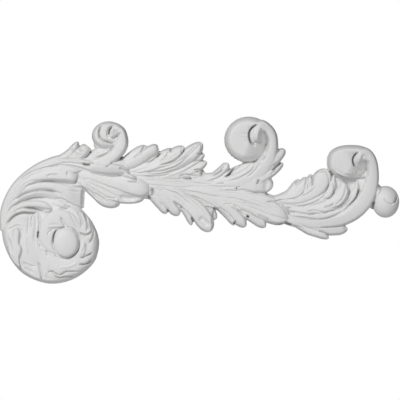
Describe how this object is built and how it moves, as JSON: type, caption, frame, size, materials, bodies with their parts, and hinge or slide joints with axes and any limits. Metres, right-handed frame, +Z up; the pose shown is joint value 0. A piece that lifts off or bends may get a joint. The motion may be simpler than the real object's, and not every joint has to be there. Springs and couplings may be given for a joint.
{
  "type": "scroll onlay",
  "caption": "Long low-relief onlay: an acanthus sprig with scrolls and leaf lobes, cast in one piece, with a flat back to fix on a wall, door or mantel.",
  "frame": {"origin": "on the flat back face, behind the middle of the stem", "axes": "+X along the sprig to the viewer's right, +Y out of the back into the wall, +Z up; the carved front faces -Y"},
  "size_m": [0.5, 0.03, 0.2091],
  "materials": {
    "primed_urethane": "white factory primer on cast polyurethane, smooth and matt"
  },
  "bodies": {
    "root": {"scroll_onlay": "primed_urethane"}
  },
  "joints": []
}
